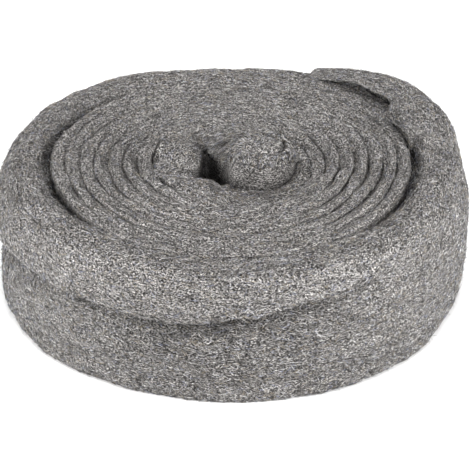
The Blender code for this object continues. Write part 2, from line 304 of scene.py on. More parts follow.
# %% The top edge: how far it wanders, in so many waves a turn
EDGE_WANDER = 0.0009
WANDER_WAVES = (0.83, 2.37)
WANDER_SHARES = (1.0, 0.7)
FELTED_STEADY = 0.9


def top_edge(angle):
    """The ribbon's width, plus the sum of share x sin(waves x angle + share), and the core's
    own rise. Where the turns are felted together they wander less."""
    turned = np.radians(angle)
    waves = zip(WANDER_SHARES, WANDER_WAVES)
    wander = sum(share * np.sin(every * turned + share) for share, every in waves)
    wander = EDGE_WANDER * wander * (1.0 - FELTED_STEADY * felted(angle))
    return RIBBON_WIDTH + wander + through(CORE_RISE, angle)


def below_top(angle, height):
    """How far a height lies under the ribbon's top edge there, with the end's lift."""
    return top_edge(angle) + through(LIFT, angle - LOOSE_START, 1) - height


every_turn = np.arange(360.0, LOOSE_START, 360.0)
print("the close turns' outer faces, mm from the axis:", (1000 * outer_radius(every_turn)).round(1))

# %% [markdown]
# ## The ribbon's cross-section
# A section runs up the inner face, over the rounded top edge, down the outer face and round
# the foot. It is a function of a number from 0 to 5, one for each of these stretches, so it
# can be sampled coarsely where a turn hides it and finely where it shows. At the left and the
# right of the real roll the turns part and their edges are round. At the front and the back
# they are felted together and nearly flat, so the rounding depends on the direction.

# %% A close turn's edge, and the core's
EDGE_RADIUS = 0.0042
EDGE_SHAPE = (0.27, 0.78)
FELTED_SHARE = 0.16
PARTED_POWER = 1.5
EDGE_UNEVEN = 0.75
UNEVEN_EVERY = (9.0, 61.0)
UNEVEN_SEED = 11
CORE_EDGE_RADIUS = 0.0058
CORE_EDGE_UNTIL = (250.0, 400.0)
BUN_EDGE_RADIUS = 0.0010
BUN_EDGE_UNTIL = (-200.0, -60.0)


def edge_size(angle):
    """The close turns' rounding: full at left and right, a share of it at front and back, and
    uneven along the ribbon, with the core's and the bun's own where they begin."""
    direction = np.radians(angle + BUN_DIRECTION)
    parted = FELTED_SHARE + (1.0 - FELTED_SHARE) * np.abs(np.cos(direction)) ** PARTED_POWER
    along = np.stack([angle / UNEVEN_EVERY[0], 0.0 * angle, angle / UNEVEN_EVERY[1]], axis=-1)
    uneven = 1.0 + EDGE_UNEVEN * lumps(along, 1.0, UNEVEN_SEED)
    in_core = 1.0 - smoothstep(angle, *CORE_EDGE_UNTIL)
    in_bun = 1.0 - smoothstep(angle, *BUN_EDGE_UNTIL)
    size = between(EDGE_RADIUS * parted * uneven, CORE_EDGE_RADIUS, in_core)
    return between(size, BUN_EDGE_RADIUS, in_bun)


left_and_back = np.array([1602.0, 1512.0])
print("an edge's rounding at the left and at the back, mm:", (1000 * edge_size(left_and_back)).round(1))


# %% The inner top edge, across and down
HOLE_RIM = (0.0060, 0.0075)
HOLE_RIM_FROM = (100.0, 125.0)
HOLE_RIM_TO = (250.0, 330.0)
LOOSE_INNER_EDGE = (0.011, 0.017)
LOOSE_INNER_EDGE_FROM = (60, 150)
LOOSE_INNER_EDGE_TO = (345, 365)
FRONT_FELTED = 0.93
FRONT_FELTED_FROM = (0.35, 0.9)
LIFT_GAP = 0.0026
MOST_INNER_EDGE = 0.45
MOST_LIFTED_EDGE = 0.7


def by_hole(angle):
    """1 where the ribbon runs beside the hole, whose rim is rounder."""
    return smoothstep(angle, *HOLE_RIM_FROM) * (1.0 - smoothstep(angle, *HOLE_RIM_TO))


def inner_edge(angle, thickness, lift, lean):
    """A close turn's rounding, a wider one by the hole and in the loose length, and less of it
    at the front and under the lifted end."""
    loose = angle - LOOSE_START
    swollen = smoothstep(loose, *LOOSE_INNER_EDGE_FROM)
    swollen = swollen * (1.0 - smoothstep(loose, *LOOSE_INNER_EDGE_TO))
    frontness = -np.sin(np.radians(angle + BUN_DIRECTION))
    parted = 1.0 - FRONT_FELTED * smoothstep(frontness, *FRONT_FELTED_FROM)
    across, down = [
        between(between(share * edge_size(angle), rim, by_hole(angle)), wide * parted, swollen)
        for share, rim, wide in zip(EDGE_SHAPE, HOLE_RIM, LOOSE_INNER_EDGE)
    ]
    across = np.minimum(across, MOST_INNER_EDGE * (thickness + lean))
    down = np.where(lean > 0.0, np.minimum(down, MOST_LIFTED_EDGE * (lift - LIFT_GAP)), down)
    return across, down


print("beside the hole, halfway round it:", by_hole(180.0))


# %% The shoulder, across and down
BUN_SHOULDER = (0.0085, 0.0130)
BUN_TOP_SHOULDER = (0.0075, 0.0010)
BUN_SHOULDER_FROM = (-360.0, -300.0)
LOOSE_SHOULDER = (0.027, 0.046)
MOST_SHOULDER = (0.9, 0.55)


def shoulder(angle, thickness):
    """The outer top edge: nearly level on top of the bun, steep round its rim, then a close
    turn's, and broad in the loose length."""
    in_bun = smoothstep(angle, *BUN_SHOULDER_FROM)
    past_bun = smoothstep(angle, 0.0, LEAD_OUT[1])
    on_loose = smoothstep(angle - LOOSE_START, *LOOSE_SHOULDER_FROM)
    across, down = [
        between(between(top, rim, in_bun), between(share * edge_size(angle), wide, on_loose), past_bun)
        for top, rim, share, wide in zip(BUN_TOP_SHOULDER, BUN_SHOULDER, EDGE_SHAPE, LOOSE_SHOULDER)
    ]
    return np.minimum(across, between(*MOST_SHOULDER, in_bun) * thickness), down


loose_middle = np.array(LOOSE_START + LOOSE_ANGLE / 2.0)
loose_shoulder = shoulder(loose_middle, outer_radius(loose_middle) - inner_radius(loose_middle))
print("the loose length's shoulder, mm across and down:", (1000 * np.array(loose_shoulder)).round(1))


# %% The foot and the blunt end
FOOT_RADIUS = 0.0025
LOOSE_FOOT = (0.0075, 0.032)
LOOSE_FOOT_FROM = (45, 120)
MOST_OUTER_FOOT = 0.35
MOST_INNER_FOOT = 0.3
END_ROUNDING = 3.2
END_BLUNTNESS = 0.97


def foot(angle, thickness):
    """The outer foot, across and up, and the small inner one."""
    on_loose = smoothstep(angle - LOOSE_START, *LOOSE_FOOT_FROM)
    across = np.minimum(between(FOOT_RADIUS, LOOSE_FOOT[0], on_loose), MOST_OUTER_FOOT * thickness)
    up = between(FOOT_RADIUS, LOOSE_FOOT[1], on_loose)
    return across, up, np.minimum(FOOT_RADIUS, MOST_INNER_FOOT * thickness)


def end_inset(angle, thickness):
    """How far the faces draw in at the ribbon's end: (1 - sqrt(1 - e^2)) of half a thickness."""
    ended = np.clip((angle - END + END_ROUNDING) / END_ROUNDING, 0.0, END_BLUNTNESS)
    return (1.0 - np.sqrt(1.0 - ended**2)) * thickness / 2.0


print("at the end each face draws in by this share of a thickness:", end_inset(END, 1.0).round(2))


# %% The creases: degrees into the loose length, share of the ribbon's width, depth
LONG_CREASE = (
    (148, 0.34, 0.0), (159, 0.36, 0.0050), (188, 0.62, 0.0075), (216, 0.67, 0.0095),
    (236, 0.66, 0.0125), (253, 0.70, 0.0135), (268, 0.78, 0.0105), (285, 0.84, 0.0050),
    (300, 0.85, 0.0),
)
LONG_CREASE_SPREAD = (0.20, 0.008)
FOOT_CREASE = (
    (168, 0.16, 0.0), (193, 0.16, 0.0022), (248, 0.18, 0.0032), (298, 0.16, 0.0022),
    (328, 0.16, 0.0),
)
FOOT_CREASE_SPREAD = (0.025, 0.06)


def crease_depth(crease, spread, loose, share_of_width):
    """The crease's own depth, fading as e^(-distance / spread) below and above it."""
    away = share_of_width - through(crease, loose, 1)
    width = np.where(away < 0.0, spread[0], spread[1])
    return through(crease, loose, 2) * np.exp(-np.abs(away) / width)


print("deepest crease, mm:", 1000 * max(depth for _, _, depth in LONG_CREASE))

# %% The section itself
BEND_AT = 0.6
TOP_MIDDLE = 2.0
FOOT_END = 4.0 + BEND_AT


def section(angle, t):
    """Radius and height at each angle and each place t round the section: 0 to 1 up the inner
    face, 1 to 2 and 2 to 3 over the top as two quarters of an ellipse, 3 to 4 down the outer
    face, 4 to 5 round the foot and back along the floor."""
    loose = angle - LOOSE_START
    inner, outer = inner_radius(angle) + 0.0 * t, outer_radius(angle) + 0.0 * t
    drawn_in = end_inset(angle, outer - inner)
    inner, outer = inner + drawn_in, outer - drawn_in
    thickness = outer - inner
    lift, lean = through(LIFT, loose, 1), through(LIFT, loose, 2)
    top = top_edge(angle) + lift - drawn_in
    inner_across, inner_down = inner_edge(angle, thickness, lift, lean)
    across, down = shoulder(angle, thickness)
    foot_across, foot_up, inner_foot = foot(angle, thickness)
    level = thickness + lean - inner_across - across
    bend = np.where(lean > 0.0, top - lift + LIFT_GAP, 0.5 * top)

    part = np.clip(np.floor(t), 0, 4)
    s = t - part
    first = np.minimum(s / BEND_AT, 1.0)
    then = np.clip((s - BEND_AT) / (1.0 - BEND_AT), 0.0, 1.0)
    quarter, foot_turn = np.radians(90.0 * s), np.radians(90.0 * first)
    radius = np.choose(part.astype(int), [
        inner - lean * then,
        inner - lean + inner_across * (1.0 - np.cos(quarter)) + level * s,
        outer - across * (1.0 - np.sin(quarter)),
        outer,
        between(outer - foot_across * (1.0 - np.cos(foot_turn)), inner + inner_foot, then),
    ])
    height = np.choose(part.astype(int), [
        between(inner_foot, bend, first) + (top - inner_down - bend) * then,
        top - inner_down * (1.0 - np.sin(quarter)),
        top - down * (1.0 - np.cos(quarter)),
        between(top - down, foot_up, s),
        foot_up * (1.0 - np.sin(foot_turn)),
    ])
    share = height / RIBBON_WIDTH
    creased = crease_depth(LONG_CREASE, LONG_CREASE_SPREAD, loose, share)
    creased = creased + crease_depth(FOOT_CREASE, FOOT_CREASE_SPREAD, loose, share)
    return radius - creased * (t >= TOP_MIDDLE) * (t <= FOOT_END), height


print("the loose length's top, mm high:", (1000 * section(loose_middle, np.array(TOP_MIDDLE))[1]).round(1))


# %% [markdown]
# ## Where the samples go
# An even grid would waste most of its points on faces that lie hidden between two turns. The
# samples are spaced along the ribbon by length, closer in the core and on the loose length,
# and the loose length has three times as many round its section as a close turn.

# %% Spacing, in metres and samples a stretch
CORE_STEP = 0.0017
CLOSE_STEP = 0.0031
CLOSE_STEP_FROM = (360.0, 440.0)
LOOSE_STEP = 0.0022
CLOSE_SAMPLES = (4, 8, 8, 4, 4)
LOOSE_SAMPLES = (12, 12, 22, 22, 16)
FINER = 3
SPREAD_OVER = 40.0
FINE_ANGLES = 8000
LEAST_REACH = 0.006


def stretches(samples):
    """Places round the section, with so many in each of its five stretches."""
    return np.concatenate([k + np.arange(count) / count for k, count in enumerate(samples)])


def stations(start, end, step_at):
    """Angles whose spacing along the ribbon is step_at(angle): the running sum of
    radius times turn over step, cut into equal parts."""
    fine = np.linspace(start, end, FINE_ANGLES)
    reach = np.maximum(outer_radius(fine), LEAST_REACH)
    rate = reach * math.radians(fine[1] - fine[0]) / step_at(fine)
    total = np.concatenate([[0.0], np.cumsum(rate[:-1])])
    return np.interp(np.linspace(0.0, total[-1], round(total[-1]) + 1), total, fine)


def close_step(angle):
    return between(CORE_STEP, CLOSE_STEP, smoothstep(angle, *CLOSE_STEP_FROM))


def loose_step(angle):
    return LOOSE_STEP + 0.0 * angle


print("one close turn has", len(stations(720.0, 1080.0, close_step)), "samples along it")


# %% The two grids of places
close_angle = stations(START, LOOSE_START, close_step)[:-1, None]
loose_angle = stations(LOOSE_START, END, loose_step)[:, None]
close_t = stretches(CLOSE_SAMPLES)
ring = len(close_t)
stitched_t = np.interp(np.arange(FINER * ring) / FINER, np.arange(ring + 1), np.append(close_t, 5.0))
spread_out = smoothstep(loose_angle - LOOSE_START, 0.0, SPREAD_OVER)
loose_t = between(stitched_t, stretches(LOOSE_SAMPLES), spread_out)
close_t = close_t + 0.0 * close_angle
print(close_t.shape, "places on the close turns,", loose_t.shape, "on the loose length")

# %% [markdown]
# ## From the winding to places
# A radius and an angle give a place about the bun near the middle and about the roll's axis
# further out. Then the whole roll settles, as the real one has: its core lies nearer the front
# than the middle of the outline, and the front has sunk a little.

# %% Round the bun or round the roll
def wound(angle, radius):
    """x and y: radius (cos, sin) of the angle, about a point that leaves the bun for the axis."""
    turned = np.radians(angle + BUN_DIRECTION)
    off = BUN_OFFSET * bun_share(angle)
    x = off * math.cos(math.radians(BUN_DIRECTION)) + radius * np.cos(turned)
    y = off * math.sin(math.radians(BUN_DIRECTION)) + radius * np.sin(turned)
    return x, y


def middle(values):
    return (values.max() + values.min()) / 2.0


close_radius, close_height = section(close_angle, close_t)
loose_radius, loose_height = section(loose_angle, loose_t)
close_x, close_y = wound(close_angle, close_radius)
loose_x, loose_y = wound(loose_angle, loose_radius)

# %% Settled
CORE_OFFCENTRE = 0.023
FRONT_DROP = 0.014
MIDDLE_X, MIDDLE_Y = middle(loose_x), middle(loose_y)
OUTLINE = float(outer_radius(np.array(END - 90.0)))


def settled(x, y, z):
    """y moves towards the front by CORE_OFFCENTRE (1 - r^2) and z shrinks towards the front."""
    x, y = x - MIDDLE_X, y - MIDDLE_Y
    share = np.clip(np.hypot(x, y) / OUTLINE, 0.0, 1.0)
    sunk = FRONT_DROP / RIBBON_WIDTH * smoothstep(-y, 0.0, OUTLINE)
    return np.stack([x, y - CORE_OFFCENTRE * (1.0 - share**2), z * (1.0 - sunk)], axis=-1)


close_grid = settled(close_x, close_y, close_height)
loose_grid = settled(loose_x, loose_y, loose_height)
shift = middle(loose_grid[..., 1])
for grid in (close_grid, loose_grid):
    grid[..., 1] -= shift
print("roll before its relief, mm:", (1000 * np.ptp(loose_grid.reshape(-1, 3), axis=0)).round(1))

# %% [markdown]
# ## The wool's own relief
# Steel wool is springy and uneven: soft lumps some centimetres apart, smaller tufts, and long
# low ridges where the shavings lie together. Only what shows is moved, so that the turns stay
# clear of each other inside the roll. A displacement map could do it too, but the strands
# below have to lie on the moved surface, so the points themselves are moved.

# %% What shows
TOP_SEEN = (0.0035, 0.0075)
HOLE_WALL_SEEN = (0.030, 0.045)
HOLE_WALL_ANGLES = (20.0, 360.0)
INNER_HALF = 1.5
SIDE_FROM = (40.0, 50.0)
GAP_WALL_SEEN = (0.012, 0.022)
GAP_WALL_FROM = (50.0, 90.0)
UNDERSIDE = 0.002
UNDERSIDE_SHARE = 0.5


def showing(angle, t, height):
    """1 on the top edges, on the walls of the hole, on the outer face past the end's overlap
    and on the foot; 0 where another turn covers the ribbon."""
    loose, depth = angle - LOOSE_START, below_top(angle, height)
    seen = 1.0 - smoothstep(depth, *TOP_SEEN)
    beside_hole = (t < INNER_HALF) * (angle > HOLE_WALL_ANGLES[0]) * (angle < HOLE_WALL_ANGLES[1])
    hole_wall = (1.0 - smoothstep(depth, *HOLE_WALL_SEEN)) * beside_hole
    outer_face = (t >= TOP_MIDDLE) * (t < FOOT_END) * smoothstep(loose, *SIDE_FROM)
    beside_gap = (t < TOP_MIDDLE) * smoothstep(loose, *GAP_WALL_FROM)
    gap_wall = (1.0 - smoothstep(depth, *GAP_WALL_SEEN)) * beside_gap
    under = 1.0 - smoothstep(height, 0.0, UNDERSIDE)
    return np.maximum.reduce([seen, hole_wall, outer_face, gap_wall, UNDERSIDE_SHARE * under])


close_seen = showing(close_angle, close_t, close_height)
loose_seen = showing(loose_angle, loose_t, loose_height)
print(f"{100 * close_seen.mean():.0f}% of the close turns' grid shows")


# %% Directions on a grid
def unit(vectors):
    """Each vector divided by its length."""
    return vectors / np.maximum(np.linalg.norm(vectors, axis=-1, keepdims=True), 1e-12)


def directions(grid):
    """Unit vectors at each point of a grid that closes on itself round the section: along the
    ribbon, and out of its face, from the cross product of the steps either way."""
    along = np.gradient(grid, axis=0)
    around = np.roll(grid, -1, axis=1) - np.roll(grid, 1, axis=1)
    return unit(along), unit(np.cross(around, along))


print("3, 0, 4 made one long:", unit(np.array([3.0, 0.0, 4.0])))


# %% The relief: wavelength, height and seed of each size of lump, in metres
LUMPS = ((0.034, 0.0011, 1), (0.013, 0.0007, 2), (0.0055, 0.00045, 3))
RIDGE_LENGTH, RIDGE_SPACING, RIDGE_HEIGHT, RIDGE_SEED = 0.045, 0.0045, 0.0004, 4
ARC_RADIUS = 0.12


def relief(grid, seen):
    """Three sizes of lumps plus ridges, whose lattice is drawn out along the circle round the
    roll: it is read at (radius, height, arc / stretch)."""
    total = sum(height * lumps(grid, size, seed) for size, height, seed in LUMPS)
    radius = np.hypot(grid[..., 0], grid[..., 1])
    arc = np.arctan2(grid[..., 1], grid[..., 0]) * ARC_RADIUS
    drawn_out = np.stack([radius, grid[..., 2], arc * RIDGE_SPACING / RIDGE_LENGTH], axis=-1)
    total = total + RIDGE_HEIGHT * lumps(drawn_out, RIDGE_SPACING, RIDGE_SEED)
    return grid + (seen * total)[..., None] * directions(grid)[1]


close_grid = relief(close_grid, close_seen)
loose_grid = relief(loose_grid, loose_seen)
for grid in (close_grid, loose_grid):
    grid[..., 2] = np.maximum(grid[..., 2], 0.0)
print("roll, mm:", (1000 * np.ptp(loose_grid.reshape(-1, 3), axis=0)).round(1))

# %% [markdown]
# ## The ribbon as one closed mesh
# The real ribbon has no seams, so the two grids become one skin. Where the close turns end,
# three samples of the loose length meet one of theirs, and a row of six-cornered faces joins
# them. A flat cap closes each end of the ribbon.

# %% Its faces
def quads(rows, columns, first):
    """The faces of a grid that closes on itself round each row."""
    i, j = np.meshgrid(np.arange(rows - 1), np.arange(columns), indexing="ij")
    here, there = first + i * columns, first + (i + 1) * columns
    after = (j + 1) % columns
    return np.stack([here + j, here + after, there + after, there + j], axis=-1).reshape(-1, 4)


def ribbon_faces(rows, columns, loose_rows):
    """The close turns' faces, the six-cornered ones, the loose faces, and the caps."""
    fine = FINER * columns
    j = np.arange(columns)
    last, first = (rows - 1) * columns, rows * columns
    near = [last + j, last + (j + 1) % columns]
    far = [first + (FINER * j + k) % fine for k in (3, 2, 1, 0)]
    end = first + (loose_rows - 1) * fine
    caps = [np.arange(columns)[None, ::-1], end + np.arange(fine)[None, :]]
    seam = np.stack(near + far, axis=-1)
    return [quads(rows, columns, 0), seam, quads(loose_rows, fine, first)] + caps


ribbon_points = np.concatenate([close_grid.reshape(-1, 3), loose_grid.reshape(-1, 3)])
faces = ribbon_faces(len(close_grid), ring, len(loose_grid))
ribbon_mesh, flipped = mesh_from("wool_ribbon", ribbon_points, *faces)
OUTWARD = -1.0 if flipped else 1.0

# %% A map that follows the winding, in metres
SLANT_SHARE = 0.5


def winding_map(grids):
    """u is the length along the ribbon at mid thickness, v the length round the section. On
    the level faces, seen at a slant, v grows half as fast, so that the mat still shows."""
    found, reached = [], 0.0
    for grid in grids:
        closed = np.concatenate([grid, grid[:, :1]], axis=1)
        slant = 1.0 - SLANT_SHARE * np.abs(directions(grid)[1][..., 2])
        middle_step = np.linalg.norm(np.diff(closed.mean(axis=1), axis=0), axis=-1)
        mean_step = np.linalg.norm(np.diff(closed, axis=0), axis=-1).mean(axis=1)
        u = reached + np.concatenate([[0.0], np.cumsum(np.maximum(middle_step, mean_step))])
        round_it = np.cumsum(slant * np.linalg.norm(np.diff(closed, axis=1), axis=-1), axis=1)
        v = np.concatenate([0.0 * closed[:, :1, 0], round_it], axis=1)
        found.append(np.stack([u[:, None] + 0.0 * v, v], axis=-1))
        reached = u[-1]
    return found


def quad_uv(uv):
    return np.stack([uv[:-1, :-1], uv[:-1, 1:], uv[1:, 1:], uv[1:, :-1]], axis=2).reshape(-1, 4, 2)


close_uv, loose_uv = winding_map((close_grid, loose_grid))
near_uv = [close_uv[-1, :-1], close_uv[-1, 1:]]
far_uv = [loose_uv[0, 3::3], loose_uv[0, 2::3], loose_uv[0, 1::3], loose_uv[0, 0:-1:3]]
seam_uv = np.stack(near_uv + far_uv, axis=1)
cap_uv = [close_uv[0, :-1][None, ::-1], loose_uv[-1, :-1][None, :]]
corner_map(ribbon_mesh, "winding", [quad_uv(close_uv), seam_uv, quad_uv(loose_uv)] + cap_uv, flipped)
print(f"the ribbon is {loose_uv[-1, 0, 0]:.2f} m long")

# %% The painted shade: darker down in the grooves, the hole and the gap, and under the crease
DARK_FROM = 0.004
DARK_DEPTH = 0.0045
LEAST_SHADE = 0.03
OPEN_FROM = 1.6
LOOSE_OPEN_FROM = (45.0, 60.0)
BUN_OPEN_UNTIL = 30.0
BUN_OPEN_ABOVE = 0.08
PAINTED_CREASE_SHADOW = (0.5, 0.30)


def painted_crease_shadow(angle, t, height):
    """The painted shadow of the crease's overhang: a share of the light that the overhang keeps off
    the face below it, fading as e^(-distance / spread), with the distance as a share of the
    ribbon's width."""
    loose = angle - LOOSE_START
    below = through(LONG_CREASE, loose, 1) - height / RIBBON_WIDTH
    overhang = through(LONG_CREASE, loose, 2) / max(depth for _, _, depth in LONG_CREASE)
    kept_off, spread = PAINTED_CREASE_SHADOW
    on_face = (t >= TOP_MIDDLE) * (below > 0.0)
    return kept_off * on_face * overhang * np.exp(-np.abs(below) / spread)


def painted_depth_shade(angle, t, height):
    """Painted shade for the mat's colour: 1 at a top edge or an outer face, a painted shadow
    under the crease's overhang, and e^(-depth / DARK_DEPTH) down in a groove, the hole or the
    gap beside the loose length, where shade falls."""
    rim = between(DARK_FROM, HOLE_RIM[1], by_hole(angle))
    depth = np.clip(below_top(angle, height) - rim, 0.0, None)
    on_loose = smoothstep(angle - LOOSE_START, *LOOSE_OPEN_FROM)
    on_bun = (angle < BUN_OPEN_UNTIL) * (height > BUN_OPEN_ABOVE)
    open_face = (t >= OPEN_FROM) * (on_loose + on_bun) > 0.5
    # a painted shadow under the crease's overhang, on the open faces
    lit = 1.0 - painted_crease_shadow(angle, t, height)
    return np.where(open_face, lit, np.maximum(np.exp(-depth / DARK_DEPTH), LEAST_SHADE))


close_painted_shade = painted_depth_shade(close_angle, close_t, close_height)
loose_painted_shade = painted_depth_shade(loose_angle, loose_t, loose_height)
# The painted shade is stored on the mesh as an attribute and multiplied into the felt's colour.
layer = ribbon_mesh.attributes.new("painted_depth_shade", "FLOAT", "POINT")
shades = np.concatenate([close_painted_shade.ravel(), loose_painted_shade.ravel()])
layer.data.foreach_set("value", shades.astype(np.float32))
print("mean shade of the close turns:", close_painted_shade.mean().round(2))

# %% [markdown]
# ## The strands
# Steel wool is shaved from wire, so each strand is a thin sliver with a three-sided section
# and pointed ends. Here each one is a closed spindle of six triangles. A real strand is under
# 0.1 mm thick, too fine to show from here, so they are drawn about 0.3 mm thick, and fewer.
# Hair curves would be lighter, but a mesh keeps its form in every export. Most strands lie
# along the winding, as the rollers laid them.

# %% Random places on a surface
def cell_corners(grid):
    """The four corners of each cell of a grid that closes on itself round the section."""
    closed = np.concatenate([grid, grid[:, :1]], axis=1)
    return closed[:-1, :-1], closed[1:, :-1], closed[1:, 1:], closed[:-1, 1:]


def pick_places(grid, weight, count, rng):
    """Places drawn with a chance of area times weight, each blended from its cell's corners,
    with the unit vectors along the ribbon and out of its face there."""
    a, b, c, d = [corner.reshape(-1, 3) for corner in cell_corners(grid)]
    area = np.linalg.norm(np.cross(c - a, d - b), axis=-1) / 2.0
    chance = area * weight[:-1].ravel()
    cell = rng.choice(len(area), count, p=chance / chance.sum())
    s, t = rng.random((2, count, 1))
    a, b, c, d = a[cell], b[cell], c[cell], d[cell]
    place = (a * (1 - s) + b * s) * (1 - t) + (d * (1 - s) + c * s) * t
    along = unit(b - a + c - d)
    out = unit(np.cross(d - a + c - b, along)) * OUTWARD
    return place, along, out


print("the loose length has", cell_corners(loose_grid)[0][..., 0].size, "cells")


# %% The spindles' points
SIZE_SPREAD = 0.35
THICKNESS_SHARES = (0.35, 0.65)
LOOSE_END_SHARE = 0.5
MOST_RISE = 0.0035
DIP = 0.0005


def spindle_points(place, along, out, rng, length, thickness, turn, spread, across, curl, lift, loose_end):
    """Each strand is s (cos h, sin h) + k s^2 / 2 in the plane of the surface, where h is its
    heading from the winding and k its curl, plus a lift off the surface. It has a point at
    each end and a triangle in the middle."""
    count = len(place)
    side = np.cross(out, along)
    heading = rng.normal(math.radians(turn), math.radians(spread), count)
    heading = np.where(rng.random(count) < across, rng.uniform(0.0, math.pi, count), heading)[:, None]
    forward = along * np.cos(heading) + side * np.sin(heading)
    sideways = side * np.cos(heading) - along * np.sin(heading)
    reach = length * rng.lognormal(0.0, SIZE_SPREAD, (count, 1)) / 2.0
    bend = sideways * rng.normal(0.0, curl, (count, 1)) * reach**2 / 2.0
    middle_lift = rng.uniform(*lift, (count, 1))
    rise = rng.exponential(loose_end, (count, 1)) * (rng.random((count, 1)) < LOOSE_END_SHARE)
    rise = np.minimum(rise, MOST_RISE)
    tail = place - forward * reach + bend + out * (middle_lift - DIP)
    head = place + forward * reach + bend + out * (middle_lift - DIP + rise)

    half = thickness * rng.uniform(*THICKNESS_SHARES, (count, 1, 1))
    roll = rng.uniform(0.0, 2.0 * math.pi, (count, 1)) + np.radians([0.0, 120.0, 240.0])
    corner = np.cos(roll)[..., None] * out[:, None] + np.sin(roll)[..., None] * sideways[:, None]
    waist = (place + out * (middle_lift + rise / 4.0))[:, None] + half * corner
    points = np.concatenate([tail[:, None], waist, head[:, None]], axis=1)
    points[..., 2] = np.maximum(points[..., 2], 0.0)
    return points


# %% The spindles' faces and shades
SHADE_WIDTH = 0.012


def spindles(name, place, along, out, rng, **how):
    """Three faces from the tail to the waist and three on to the head. On the map each strand
    has a narrow column of its own, u, and runs up it from its tail to its head, v."""
    points = spindle_points(place, along, out, rng, **how)
    count = len(points)
    base = 5 * np.arange(count)[:, None, None]
    k, after = np.arange(3), (np.arange(3) + 1) % 3
    first = (base + np.stack([0 * k, 1 + k, 1 + after], axis=-1)).reshape(-1, 3)
    last = (base + np.stack([0 * k + 4, 1 + after, 1 + k], axis=-1)).reshape(-1, 3)
    mesh, turned = mesh_from(name, points.reshape(-1, 3), first, last)

    shade = rng.random((count, 1)) * (1.0 - SHADE_WIDTH)
    low, high = shade + SHADE_WIDTH * k / 3.0, shade + SHADE_WIDTH * (k + 1) / 3.0
    uv = [
        np.stack([np.stack(sides, axis=-1), np.broadcast_to([end, 0.5, 0.5], (count, 3, 3))], axis=-1)
        for sides, end in (((low, low, high), 0.0), ((low, high, low), 1.0))
    ]
    corner_map(mesh, "OFBake", [part.reshape(-1, 3, 2) for part in uv], turned)
    return mesh


# %% [markdown]
# ## The finish
# Carbon steel, shaved and rolled, bare but for a trace of oil. It is a metal, so its colour is
# in its reflections: a mass of tiny facets that reads as mid grey, with single strands that
# glint or lie in shade. A few are bluish from the heat of shaving, a few straw brown. Each
# strand could have a material of its own, but one ramp that reads a strand's place on its map
# gives thousands of greys with one.

# %% Colours and nodes
def linear(code):
    """An sRGB hex colour as linear light: ((c + 0.055) / 1.055)^2.4, or c / 12.92 when dark."""
    parts = [int(code[i : i + 2], 16) / 255.0 for i in (1, 3, 5)]
    return tuple(c / 12.92 if c <= 0.04045 else ((c + 0.055) / 1.055) ** 2.4 for c in parts) + (1.0,)


print("half grey as linear light:", round(linear("#808080")[0], 3))


def add(tree, kind, links=(), stops=(), **settings):
    """Adds a node, sets its sockets by name or its own values, links (socket, output) pairs,
    and fills a colour ramp from (place, colour) stops."""
    node = tree.nodes.new(kind)
    for key, value in settings.items():
        if key in node.inputs:
            node.inputs[key].default_value = value
        else:
            setattr(node, key, value)
    for socket, output in links:
        tree.links.new(output, node.inputs[socket])
    for number, (place, colour) in enumerate(stops):
        elements = node.color_ramp.elements
        element = elements[number] if number < len(elements) else elements.new(place)
        element.position, element.color = place, linear(colour)
    return node


def new_material(name, roughness, metallic=1.0):
    """A material with its node tree and shader."""
    material = bpy.data.materials.new(name)
    material.use_nodes = True
    shader = material.node_tree.nodes["Principled BSDF"]
    shader.inputs["Metallic"].default_value = metallic
    shader.inputs["Roughness"].default_value = roughness
    return material, material.node_tree, shader


# %% A strand of shaved carbon steel
STRAND_GREYS = (
    (0.00, "#232222"), (0.25, "#4f4d4c"), (0.45, "#8f8c8a"), (0.56, "#b8b5b2"),
    (0.64, "#b0a288"), (0.70, "#c9c6c3"), (0.78, "#98a0bb"), (0.84, "#e3e0dc"), (1.00, "#ffffff"),
)


def strand_steel():
    """Each strand has its own grey, read from its place on the map."""
    material, tree, shader = new_material("shaved_carbon_steel", 0.42)
    place = add(tree, "ShaderNodeUVMap", uv_map="OFBake").outputs["UV"]
    part = add(tree, "ShaderNodeSeparateXYZ", [("Vector", place)])
    colour = add(tree, "ShaderNodeValToRGB", [("Fac", part.outputs["X"])], STRAND_GREYS)
    tree.links.new(colour.outputs["Color"], shader.inputs["Base Color"])
    return material


# %% The felted mass under the loose strands, with strands as coarse as they need to be to show
FELT_STRAND_LENGTH = 0.0015
FELT_STRAND_WIDTH = 0.0005
FELT_LAYERS = ((0.0, 0.0), (24.0, 3.1), (-27.0, 7.7))
# The ramp's dark end is painted shade in the gaps between the strands.
FELT_GREYS_AND_GAP_SHADE = ((0.47, "#1c1b1a"), (0.57, "#5a5856"), (0.64, "#a09d9b"), (0.73, "#ece9e6"))
LOCK_LENGTH = 0.020
LOCK_WIDTH = 0.0009
LOCK_SHADES = {"From Min": 0.34, "From Max": 0.60, "To Min": 0.68, "To Max": 1.12}


def streaks(tree, place, length, width, shift, detail, roughness):
    """Noise drawn out into streaks of this length and width, in metres."""
    drawn = add(tree, "ShaderNodeMapping", [("Vector", place)],
                Scale=(1.0 / length, 1.0 / width, 1.0), Location=(shift, shift, 0.0))
    return add(tree, "ShaderNodeTexNoise", [("Vector", drawn.outputs["Vector"])],
               noise_dimensions="2D", Scale=1.0, Detail=detail, Roughness=roughness).outputs["Fac"]


def crossing_streaks(tree, place):
    """Layers of streaks, turned a little against each other, of which the lightest is kept."""
    mat = None
    for turn, shift in FELT_LAYERS:
        turned = add(tree, "ShaderNodeVectorRotate", [("Vector", place)],
                     rotation_type="Z_AXIS", Angle=math.radians(turn)).outputs["Vector"]
        layer = streaks(tree, turned, FELT_STRAND_LENGTH, FELT_STRAND_WIDTH, shift, 2.0, 0.6)
        if mat is None:
            mat = layer
        else:
            mat = add(tree, "ShaderNodeMath", [(0, mat), (1, layer)], operation="MAXIMUM").outputs["Value"]
    return mat


